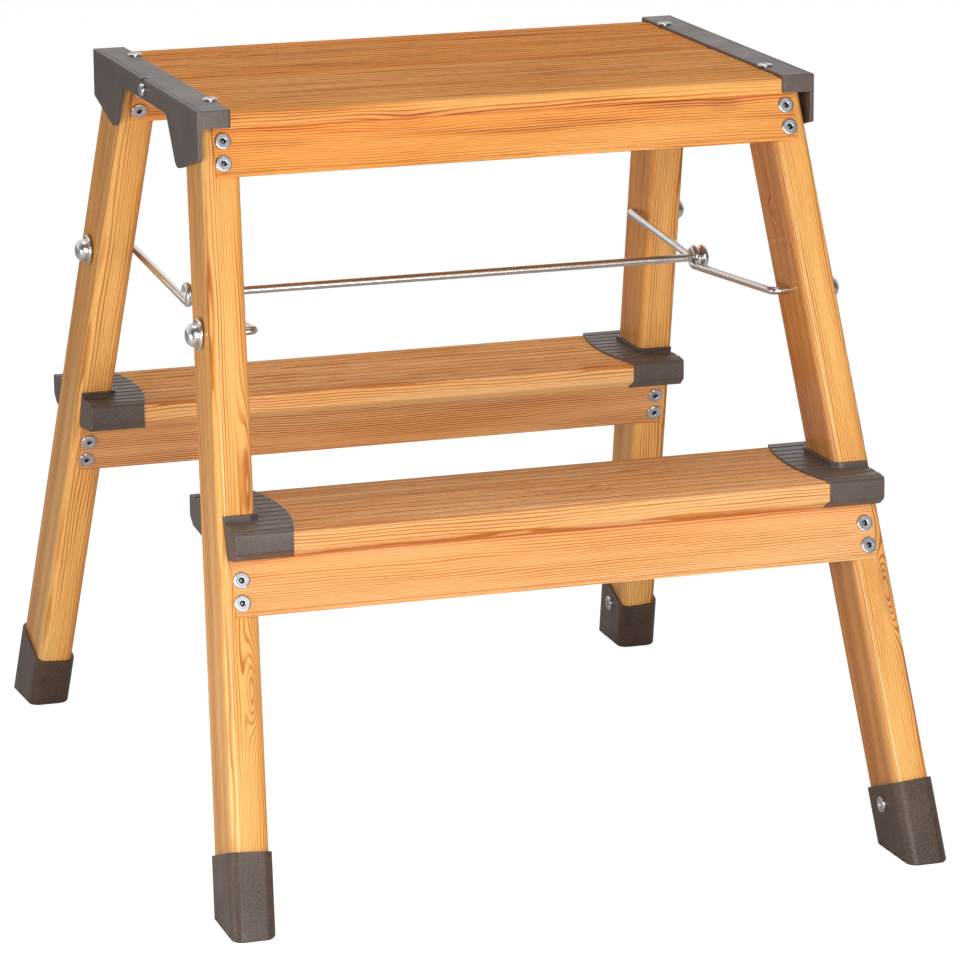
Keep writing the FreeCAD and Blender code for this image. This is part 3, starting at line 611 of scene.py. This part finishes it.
@dataclass(frozen=True)
class BrightMetal:
    """Plated steel with fine lines and a faint stain."""

    name: str
    colour: Colour
    stained: Colour
    low: float
    high: float
    lines: tuple[float, float, float]
    line_depth: float = 0.012 * MM
    edge_width: float = 0.25 * MM
    stain_share: float = 0.6
    emboss: float = 0.3

    def material(self) -> bpy.types.Material:
        """Build the metal's material."""
        material, canvas, shader, place = new_material(self.name)
        drawn = DRAWN_LINES.place(canvas, Vector=place, Along=self.lines)
        wear_and_highlight = EDGE_WEAR_AND_HIGHLIGHT.place(canvas, Vector=place, Width=self.edge_width)
        sheen = SMUDGES.place(canvas, Vector=place, Low=self.low, High=self.high)
        stain = canvas.spread(drawn["Stain"], 0.45, 0.75, 0.0, self.stain_share)
        tinted = canvas.mix(stain, self.colour, self.stained)
        bump = canvas.node("ShaderNodeBump", {
            "Height": drawn["Height"], "Normal": wear_and_highlight["Rounded"], "Strength": self.emboss,
            "Distance": self.line_depth})
        canvas.plug(shader.inputs["Base Color"], tinted)
        canvas.plug(shader.inputs["Roughness"], sheen["Roughness"])
        canvas.plug(shader.inputs["Normal"], bump.outputs[0])
        shader.inputs["Metallic"].default_value = 1.0
        return material


LEG_TINT = FilmTint(
    srgb(251, 196, 120), srgb(242, 176, 96), gold_line=srgb(196, 112, 40), gloss=0.45)
LEVEL_TINTS = {
    ("platform", End.FRONT): FilmTint(srgb(252, 185, 110), srgb(244, 166, 88), redness=0.95),
    ("platform", End.REAR): FilmTint(srgb(251, 175, 98), srgb(243, 156, 78), redness=1.0),
    ("step", End.FRONT): FilmTint(srgb(250, 198, 140), srgb(242, 180, 118), redness=0.25, gloss=0.08),
    ("step", End.REAR): FilmTint(srgb(250, 196, 134), srgb(242, 178, 110), redness=0.25, gloss=0.08),
}
CAP_PLASTIC = MouldedPlastic(
    "cap_plastic", srgb(76, 62, 55), srgb(86, 71, 63), srgb(168, 150, 140),
    pebble_size=0.9, pebble_depth=0.12 * MM, low=0.38, high=0.48)
BOOT_PLASTIC = MouldedPlastic(
    "boot_plastic", srgb(66, 48, 36), srgb(76, 57, 44), srgb(160, 138, 122),
    pebble_size=1.1, pebble_depth=0.2 * MM, low=0.42, high=0.52)
PLUG_PLASTIC = MouldedPlastic(
    "plug_plastic", srgb(48, 46, 45), srgb(58, 56, 54), srgb(88, 86, 84),
    pebble_size=0.8, pebble_depth=0.05 * MM)
SCREW_STEEL = BrightMetal(
    "screw_steel", srgb(192, 193, 195), srgb(140, 141, 142), low=0.22, high=0.32, lines=(900.0, 900.0, 900.0))
ZINC_PLATE = BrightMetal(
    "zinc_plate", srgb(214, 216, 219), srgb(160, 162, 163), low=0.16, high=0.26, lines=(900.0, 900.0, 900.0))
STEM_STEEL = BrightMetal(
    "stem_steel", srgb(126, 126, 128), srgb(82, 82, 84), low=0.28, high=0.42, lines=(1200.0, 1200.0, 1200.0))
BRIGHT_WIRE = BrightMetal(
    "bright_wire", srgb(214, 212, 209), srgb(196, 193, 189), low=0.2, high=0.28, lines=(30.0, 900.0, 900.0),
    line_depth=0.004 * MM)


class FinishShelf:
    """Keeps one built material for each finish."""

    def __init__(self) -> None:
        """Start empty."""
        self._built: dict[str, bpy.types.Material] = {}

    def material(self, finish: Union[PineFilm, MouldedPlastic, BrightMetal]) -> bpy.types.Material:
        """Material of a finish, built on first use."""
        if finish.name not in self._built:
            self._built[finish.name] = finish.material()
        return self._built[finish.name]

    def dress(self, piece: bpy.types.Object, finish: Union[PineFilm, MouldedPlastic, BrightMetal]) -> None:
        """Put a finish on every material slot of a piece."""
        material = self.material(finish)
        if not piece.material_slots:
            piece.data.materials.append(material)
        for slot in piece.material_slots:
            slot.material = material
        LOG.info("%s dressed in %s", piece.name, finish.name)


@dataclass(frozen=True)
class Stance:
    """How the open stool stands: the legs' lean and splay and the places that follow from them."""

    top_height: float = 0.450
    lean: float = math.radians(20.07)
    splay: float = math.radians(4.27)
    leg_top_side: float = 0.1727
    leg_top_out: float = 0.0853
    leg_depth: float = 0.0435
    sheet: float = 1.65 * MM
    platform_bottom: float = 0.411
    step_bottom: float = 0.1728
    rivet_edge: float = 7.5 * MM
    rivet_pitch: float = 12.4 * MM

    def leg_point(self, end: End, side: Side, height: float) -> Vector:
        """Point of a leg's centre line at a height."""
        drop = self.top_height - height
        return Vector((
            side.value * (self.leg_top_side + math.tan(self.splay) * drop),
            end.value * (self.leg_top_out + math.tan(self.lean) * drop),
            height,
        ))

    def leg_grain(self, end: End, side: Side) -> Matrix:
        """Grain frame of a leg: X up the leg, Y across it to the right, Z through it to the rear."""
        along = (self.leg_point(end, side, self.top_height) - self.leg_point(end, side, 0.0)).normalized()
        across = Vector((1, 0, 0)) - along * along.x
        across.normalize()
        turn = Matrix((along, across, along.cross(across))).transposed()
        return Matrix.Translation(self.leg_point(end, side, 0.0)) @ turn.to_4x4()

    def rivet_seats(self, end: End, bottom: float) -> list[tuple[Vector, Vector]]:
        """Seats of the rivets along one extrusion.

        Args:
            end: The frame half.
            bottom: Height of the apron's lower edge.

        Returns:
            The middle of each rivet's seat and the direction that it faces.
        """
        outward = Vector((0, end.value * math.cos(self.lean), math.sin(self.lean)))
        reach = self.leg_depth / 2 + self.sheet
        seats = []
        for side in Side:
            for face in (1, -1):
                for rise in (self.rivet_edge, self.rivet_edge + self.rivet_pitch):
                    height = bottom + rise
                    middle = self.leg_point(end, side, height)
                    middle.y += end.value * face * reach / math.cos(self.lean)
                    seats.append((middle, outward * face))
        return seats


def level_grain(height: float, out: float) -> Matrix:
    """Grain frame of a level extrusion: X along it, Y back, Z up, from a point of its middle."""
    return Matrix.Translation((0.0, out, height))


def takes_rounding(edge: bmesh.types.BMEdge, width: float) -> bool:
    """Tell whether an edge is hard and its two faces are wide enough to be rounded.

    Args:
        edge: The edge.
        width: Width of the rounding.

    Returns:
        True where the rounding fits.
    """
    if len(edge.link_faces) != 2 or edge.calc_face_angle(0.0) < HARD_EDGE:
        return False
    breadths = [face.calc_area() / max(side.calc_length() for side in face.edges) for face in edge.link_faces]
    return min(breadths) > 1.5 * width


def rounded_copy(node: str, name: str, width: float) -> bpy.types.Object:
    """Copy a rigid piece with its hard edges rounded off as moulding leaves them.

    Args:
        node: The piece's node in the frame.
        name: The copy's name.
        width: Width of the rounding.

    Returns:
        The copy, which stands for the node.
    """
    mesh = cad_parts[node].data.copy()
    mesh.name = name
    mesh.materials.clear()
    form = bmesh.new()
    form.from_mesh(mesh)
    bmesh.ops.remove_doubles(form, verts=form.verts, dist=SAME_POINT)
    bmesh.ops.dissolve_limit(form, angle_limit=FLAT_EDGE, verts=form.verts, edges=form.edges)
    for face in form.faces:
        face.smooth = True
    weight = form.edges.layers.float.new("bevel_weight_edge")
    for edge in form.edges:
        rounded = takes_rounding(edge, width)
        edge[weight] = 1.0 if rounded else 0.0
        edge.smooth = rounded or edge.calc_face_angle(0.0) < HARD_EDGE
    form.to_mesh(mesh)
    form.free()
    if "custom_normal" in mesh.attributes:
        mesh.attributes.remove(mesh.attributes["custom_normal"])
    piece = bpy.data.objects.new(name, mesh)
    bpy.context.scene.collection.objects.link(piece)
    bevel = piece.modifiers.new("rounded_edges", "BEVEL")
    bevel.width = width
    bevel.segments = 3
    bevel.limit_method = "WEIGHT"
    bevel.harden_normals = True
    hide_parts(node)
    return piece


@dataclass
class WoodFrame:
    """The film-covered extrusions of one A-frame half: two legs, a platform half and a step."""

    end: End
    stance: Stance
    shelf: FinishShelf
    leg_figures: dict[Side, tuple[Figure, ...]] = field(default_factory=dict)
    platform_figures: tuple[Figure, ...] = ()
    step_figures: tuple[Figure, ...] = ()

    def dress(self) -> None:
        """Put the film on each extrusion, its grain along it."""
        word = self.end.word
        for side in Side:
            node = f"{word}_{side.word}_leg"
            film = PineFilm(
                f"film_{node}", self.stance.leg_grain(self.end, side),
                heart=(0.0, -70.0 * side.value, 55.0 + 14.0 * self.end.value), tint=LEG_TINT,
                figures=self.leg_figures.get(side, ()), wave=5.0, ring_width=1.3)
            self.shelf.dress(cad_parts[node], film)
        for part, figures in (("platform", self.platform_figures), ("step", self.step_figures)):
            node = f"{word}_{part}"
            low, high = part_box(node)
            grain = level_grain(high.z, self.end.value * max(abs(low.y), abs(high.y)))
            film = PineFilm(
                f"film_{node}", grain, heart=(0.0, 700.0 * self.end.value, -900.0),
                tint=LEVEL_TINTS[part, self.end], figures=figures, wave=8.0, ring_width=1.5)
            self.shelf.dress(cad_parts[node], film)


FILM_FIGURES_AND_SHADE_BANDS: dict[End, dict] = {
    End.FRONT: {
        "leg_figures": {
            Side.LEFT: (
                Figure((134.0, 5.5, -22.0), (26.0, 4.5, 60.0), 8.0, 0.6),
                Figure((255.0, 11.0, -22.0), (50.0, 7.0, 60.0), 7.0, 0.5),
            ),
            Side.RIGHT: (
                Figure((156.0, 5.0, -22.0), (22.0, 5.0, 60.0), 9.0, 0.8),
                Figure((255.0, 10.0, -22.0), (36.0, 5.0, 60.0), 6.0, 0.5),
                Figure((393.0, -12.0, 5.0), (10.0, 40.0, 4.0), 3.0, 0.8),
                # Painted shade: a long dark band over the inner side of this leg.
                Figure((240.0, -12.0, 0.0), (500.0, 5.0, 400.0), 0.0, 1.0),
            ),
        },
        "platform_figures": (
            Figure((136.0, 7.0, -15.0), (14.0, 60.0, 5.0), 1.0, 0.7),
            Figure((-63.0, 8.0, -13.0), (26.0, 60.0, 6.0), 2.5, 0.25),
        ),
        "step_figures": (Figure((14.0, 34.0, 0.0), (34.0, 9.0, 60.0), 7.0, 0.5),),
    },
    End.REAR: {
        # Painted shade: a long dark band along the front-facing side of the rear step, below its nose.
        "step_figures": (Figure((0.0, -61.0, -38.0), (900.0, 16.0, 26.0), 0.0, 0.9),),
    },
}


@dataclass
class PlasticFittings:
    """Hinge caps, step caps and boots of one A-frame half, with moulded edges."""

    end: End
    shelf: FinishShelf
    hinge_edge: float = 0.5 * MM
    step_edge: float = 0.4 * MM
    boot_edge: float = 0.6 * MM

    def build(self) -> None:
        """Make and dress each fitting."""
        for side in Side:
            stem = f"{self.end.word}_{side.word}"
            for part, width, finish in (
                ("hinge_cap", self.hinge_edge, CAP_PLASTIC),
                ("step_cap", self.step_edge, CAP_PLASTIC),
                ("foot", self.boot_edge, BOOT_PLASTIC),
            ):
                piece = rounded_copy(f"{stem}_{part}", f"{stem}_{part}_moulding", width)
                self.shelf.dress(piece, finish)
                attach(piece, self.end.body)
            self.shelf.dress(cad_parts[f"{stem}_leg_plug"], PLUG_PLASTIC)


@dataclass
class Fasteners:
    """Rivets, their broken stems and the screws of one A-frame half."""

    end: End
    stance: Stance
    shelf: FinishShelf
    stem_radius: float = 1.0 * MM
    stem_sink: float = 0.35 * MM
    stem_length: float = 4.0 * MM

    def dress(self) -> None:
        """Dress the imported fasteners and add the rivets' stems."""
        word = self.end.word
        for group in ("platform_rivets", "step_rivets"):
            self.shelf.dress(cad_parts[f"{word}_{group}"], ZINC_PLATE)
        for group in ("cap_screws", "foot_screws"):
            self.shelf.dress(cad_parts[f"{word}_{group}"], SCREW_STEEL)
        for part, bottom in (("platform", self.stance.platform_bottom), ("step", self.stance.step_bottom)):
            piece = self._stems(f"{word}_{part}_rivet_stems", self.stance.rivet_seats(self.end, bottom))
            self.shelf.dress(piece, STEM_STEEL)
            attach(piece, self.end.body)

    def _stems(self, name: str, seats: list[tuple[Vector, Vector]]) -> bpy.types.Object:
        """Build the stem left in each rivet, with its rough broken tip.

        Args:
            name: The piece's name.
            seats: Where the rivets sit and face.

        Returns:
            One piece that holds all the stems.
        """
        form = bmesh.new()
        for middle, outward in seats:
            turn = outward.to_track_quat("Z", "Y").to_matrix().to_4x4()
            self._stem(form, Matrix.Translation(middle) @ turn)
        mesh = bpy.data.meshes.new(name)
        form.to_mesh(mesh)
        form.free()
        piece = bpy.data.objects.new(name, mesh)
        bpy.context.scene.collection.objects.link(piece)
        return piece

    def _stem(self, form: bmesh.types.BMesh, place: Matrix) -> None:
        """Add one stem: a round pin with a stepped, dished tip."""
        tip, radius = self.stem_sink, self.stem_radius
        profile = (
            (0.0, -self.stem_length), (radius, -self.stem_length), (radius, tip - 0.4 * MM),
            (radius * 0.8, tip), (radius * 0.45, tip - 0.15 * MM), (0.0, tip + 0.25 * MM),
        )
        revolve(form, profile, place, segments=20)


def revolve(form: bmesh.types.BMesh, profile: tuple, place: Matrix, segments: int) -> None:
    """Add a closed solid of revolution.

    Args:
        form: The mesh that gets it.
        profile: Its (radius, height) corners, from its axis round to its axis.
        place: Where it stands.
        segments: Facets round it.
    """
    rows = []
    for radius, height in profile:
        if radius == 0.0:
            rows.append([form.verts.new(place @ Vector((0, 0, height)))])
            continue
        turns = [2 * math.pi * i / segments for i in range(segments)]
        rows.append([form.verts.new(place @ Vector((radius * math.cos(t), radius * math.sin(t), height)))
                     for t in turns])
    for lower, upper in zip(rows, rows[1:]):
        for i in range(segments):
            j = (i + 1) % segments
            corners = [row[k % len(row)] for row, k in ((lower, i), (lower, j), (upper, j), (upper, i))]
            face = form.faces.new(list(dict.fromkeys(corners)))
            face.smooth = True


@dataclass
class WireBrace:
    """The jointed wire brace with its dome caps, and the hinge screws."""

    shelf: FinishShelf

    def dress(self) -> None:
        """Dress the rod, the arms, the dome caps and the hinge's fasteners."""
        self.shelf.dress(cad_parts["brace_rod"], BRIGHT_WIRE)
        for side in Side:
            for end in End:
                for part in ("arm", "dome_cap"):
                    self.shelf.dress(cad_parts[f"{end.word}_{side.word}_{part}"], BRIGHT_WIRE)
            for part in ("pivot_screw", "pivot_nut"):
                self.shelf.dress(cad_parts[f"{side.word}_{part}"], SCREW_STEEL)


@dataclass(frozen=True)
class SoftBox:
    """A large soft studio lamp."""

    name: str
    place: tuple[float, float, float]
    width: float
    height: float
    power: float
    aim: tuple[float, float, float] = (0.0, 0.0, 0.25)

    def build(self) -> None:
        """Hang the lamp and aim it."""
        lamp = bpy.data.lights.new(self.name, "AREA")
        lamp.shape = "RECTANGLE"
        lamp.size = self.width
        lamp.size_y = self.height
        lamp.energy = self.power
        holder = bpy.data.objects.new(self.name, lamp)
        holder.location = self.place
        holder.rotation_euler = (Vector(self.aim) - Vector(self.place)).to_track_quat("-Z", "Y").to_euler()
        bpy.context.scene.collection.objects.link(holder)


@dataclass(frozen=True)
class ProductCamera:
    """Camera at the photograph's viewing angle."""

    azimuth: float = math.radians(-18.2389)
    elevation: float = math.radians(14.0214)
    roll: float = math.radians(-0.4101)
    distance: float = 3.08369
    aim_height: float = 0.225
    slide: float = 0.018448
    rise: float = -0.036425
    lens: float = 187.02
    sensor: float = 36.0

    def build(self) -> None:
        """Stand the camera up and make it the scene's own."""
        level = Vector((math.cos(self.azimuth), math.sin(self.azimuth), 0.0))
        back = Vector((
            math.sin(self.azimuth) * math.cos(self.elevation),
            -math.cos(self.azimuth) * math.cos(self.elevation),
            math.sin(self.elevation),
        ))
        plumb = back.cross(level)
        right = level * math.cos(self.roll) + plumb * math.sin(self.roll)
        up = plumb * math.cos(self.roll) - level * math.sin(self.roll)
        eye = Vector((0, 0, self.aim_height)) + right * self.slide + up * self.rise + back * self.distance
        lens = bpy.data.cameras.new("product_camera")
        lens.lens = self.lens
        lens.sensor_width = self.sensor
        lens.dof.use_dof = False
        holder = bpy.data.objects.new("product_camera", lens)
        holder.matrix_world = Matrix.Translation(eye) @ Matrix((right, up, back)).transposed().to_4x4()
        bpy.context.scene.collection.objects.link(holder)
        bpy.context.scene.camera = holder


@dataclass
class Studio:
    """Pale floor, soft lamps, white surround and the camera."""

    floor_half: float = 9.0
    floor_colour: Colour = (0.86, 0.86, 0.86)
    floor_seen: Colour = (0.3, 0.3, 0.3)
    floor_glow: float = 0.925
    ambient: float = 0.21
    dark_side: float = 0.12
    bright_side: float = 1.0
    boxes: tuple[SoftBox, ...] = (
        SoftBox("key_box", (-0.3, -1.95, 0.8), 0.5, 0.9, 20.5),
        SoftBox("left_box", (-0.85, -0.35, 0.24), 0.35, 0.25, 2.0, (0.0, -0.2, 0.25)),
        SoftBox("top_box", (0.0, 0.2, 2.0), 1.0, 0.8, 10.5),
        SoftBox("right_card", (0.8, -2.2, 1.3), 1.0, 0.8, 1.5),
        SoftBox("low_card", (0.3, -1.9, 0.2), 0.6, 0.35, 6.0),
    )

    def build(self) -> None:
        """Set up the whole studio."""
        self._floor()
        self._surround()
        for box in self.boxes:
            box.build()
        ProductCamera().build()
        bpy.context.scene.view_settings.view_transform = "Standard"

    def _floor(self) -> None:
        """Lay the floor: white where it is seen, with the stool's soft shadow on it."""
        form = bmesh.new()
        bmesh.ops.create_grid(form, x_segments=1, y_segments=1, size=self.floor_half)
        mesh = bpy.data.meshes.new("studio_floor")
        form.to_mesh(mesh)
        form.free()
        floor = bpy.data.objects.new("studio_floor", mesh)
        bpy.context.scene.collection.objects.link(floor)
        material = bpy.data.materials.new("studio_floor")
        material.use_nodes = True
        material.node_tree.nodes.clear()
        canvas = Canvas(material.node_tree)
        seen = canvas.node("ShaderNodeLightPath").outputs["Is Camera Ray"]
        pigment = canvas.mix(seen, self.floor_colour, self.floor_seen)
        lit = canvas.node("ShaderNodeBsdfDiffuse", {"Color": pigment})
        strength = canvas.math("MULTIPLY", seen, self.floor_glow)
        glow = canvas.node("ShaderNodeEmission", {"Color": WHITE, "Strength": strength})
        both = canvas.node("ShaderNodeAddShader", {0: lit.outputs[0], 1: glow.outputs[0]})
        canvas.node("ShaderNodeOutputMaterial", {"Surface": both.outputs[0]})
        mesh.materials.append(material)

    def _surround(self) -> None:
        """Light the room: plain ambient light, white backdrop, darker behind the camera."""
        world = bpy.data.worlds.new("studio_surround")
        world.use_nodes = True
        world.node_tree.nodes.clear()
        canvas = Canvas(world.node_tree)
        heading = canvas.node("ShaderNodeTexCoord").outputs["Generated"]
        facing = canvas.node("ShaderNodeSeparateXYZ", {0: heading}).outputs["Y"]
        level = canvas.spread(facing, -0.5, 0.7, self.dark_side, self.bright_side)
        grey = canvas.node("ShaderNodeCombineColor", {0: level, 1: level, 2: level}).outputs[0]
        path = canvas.node("ShaderNodeLightPath")
        backdrop = canvas.mix(path.outputs["Is Camera Ray"], grey, (1.0, 1.0, 1.0))
        ambient = canvas.node("ShaderNodeBackground", {"Color": WHITE, "Strength": self.ambient})
        seen = canvas.node("ShaderNodeBackground", {"Color": backdrop, "Strength": 1.0})
        mirrored = path.outputs["Is Camera Ray"]
        for ray in ("Is Glossy Ray", "Is Transmission Ray"):
            mirrored = canvas.math("MAXIMUM", mirrored, path.outputs[ray])
        mixed = canvas.node("ShaderNodeMixShader", {0: mirrored, 1: ambient.outputs[0], 2: seen.outputs[0]})
        canvas.node("ShaderNodeOutputWorld", {"Surface": mixed.outputs[0]})
        bpy.context.scene.world = world


def main() -> None:
    """Build the studio and dress the stool, sub-assembly by sub-assembly."""
    logging.basicConfig(level=logging.INFO, format="%(name)s: %(message)s")
    stance = Stance()
    shelf = FinishShelf()
    Studio().build()
    for end in End:
        WoodFrame(end, stance, shelf, **FILM_FIGURES_AND_SHADE_BANDS.get(end, {})).dress()
        PlasticFittings(end, shelf).build()
        Fasteners(end, stance, shelf).dress()
    WireBrace(shelf).dress()


if __name__ == "__main__":
    main()
